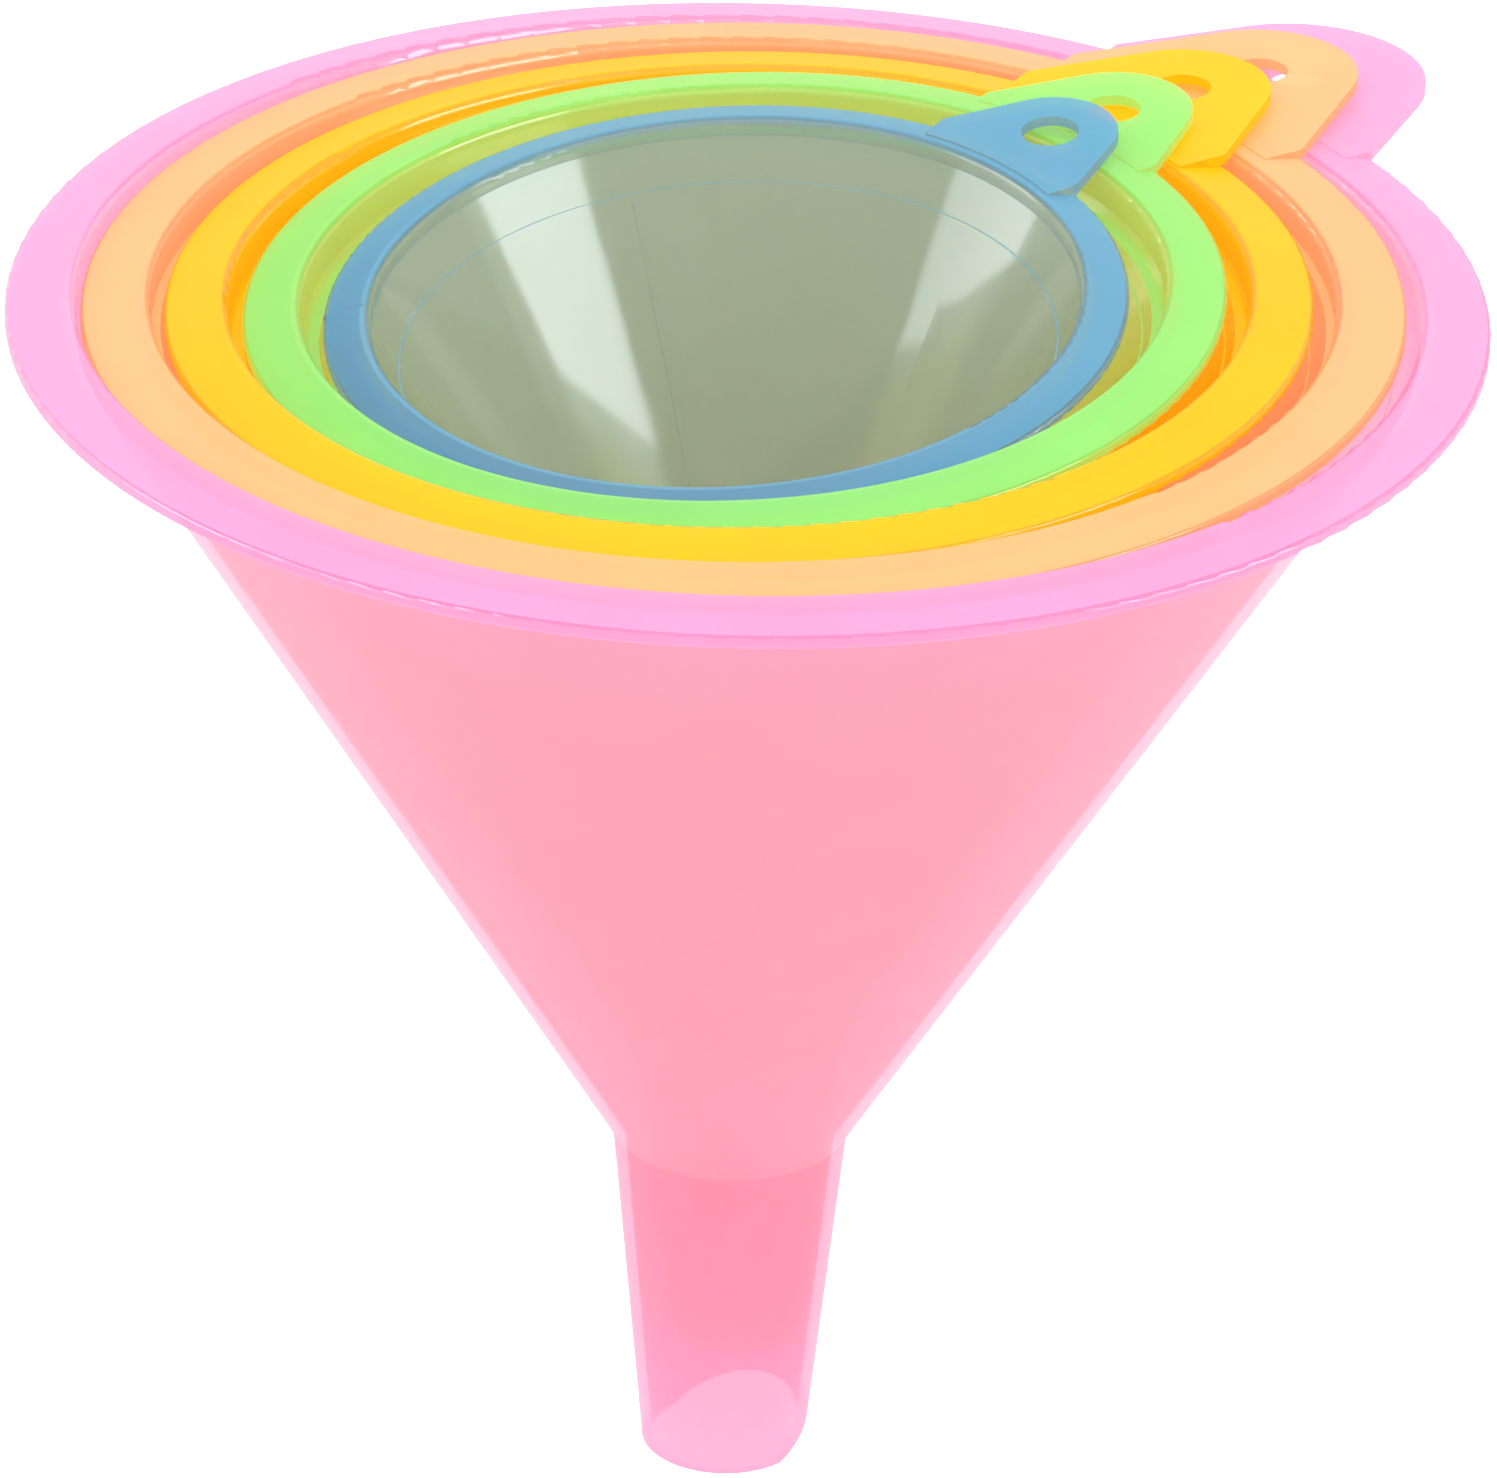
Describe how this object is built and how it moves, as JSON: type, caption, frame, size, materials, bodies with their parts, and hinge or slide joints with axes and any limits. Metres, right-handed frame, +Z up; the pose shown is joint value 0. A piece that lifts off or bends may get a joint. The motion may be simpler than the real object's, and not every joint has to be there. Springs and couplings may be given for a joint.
{
  "type": "canning funnel",
  "caption": "Nested set of round plastic kitchen funnels, each with a wide rim, a long tapered spout cut on a slant and a flat hang tab with a hole.",
  "frame": {"origin": "centre of the largest funnel's neck, on its own axis, where the cone turns into the spout and a bottle's mouth would hold it", "axes": "+Z up along the largest funnel's axis, towards its rim; -Y is the front, and the hang tabs point about 45 degrees from +X towards +Y"},
  "size_m": [0.135, 0.135, 0.1271],
  "materials": {
    "pink_plastic": "translucent polypropylene, satin gloss, candy pink",
    "peach_plastic": "translucent polypropylene, satin gloss, peach orange",
    "yellow_plastic": "translucent polypropylene, satin gloss, golden yellow",
    "green_plastic": "translucent polypropylene, satin gloss, light green",
    "blue_plastic": "translucent polypropylene, satin gloss, sky blue"
  },
  "bodies": {
    "pink_funnel": {"pink_funnel": "pink_plastic"},
    "peach_funnel": {"peach_funnel": "peach_plastic"},
    "yellow_funnel": {"yellow_funnel": "yellow_plastic"},
    "green_funnel": {"green_funnel": "green_plastic"},
    "blue_funnel": {"blue_funnel": "blue_plastic"}
  },
  "joints": [
    {"name": "peach_lift", "type": "slide", "parent": "pink_funnel", "child": "peach_funnel", "axis": [0, 0, 1], "range_m": [0, 0.1212]},
    {"name": "yellow_lift", "type": "slide", "parent": "peach_funnel", "child": "yellow_funnel", "axis": [-0.0142, -0.0129, 0.9998], "range_m": [0, 0.1099]},
    {"name": "green_lift", "type": "slide", "parent": "yellow_funnel", "child": "green_funnel", "axis": [-0.0277, -0.0238, 0.9993], "range_m": [0, 0.0849]},
    {"name": "blue_lift", "type": "slide", "parent": "green_funnel", "child": "blue_funnel", "axis": [-0.0528, -0.0527, 0.9972], "range_m": [0, 0.0721]}
  ]
}
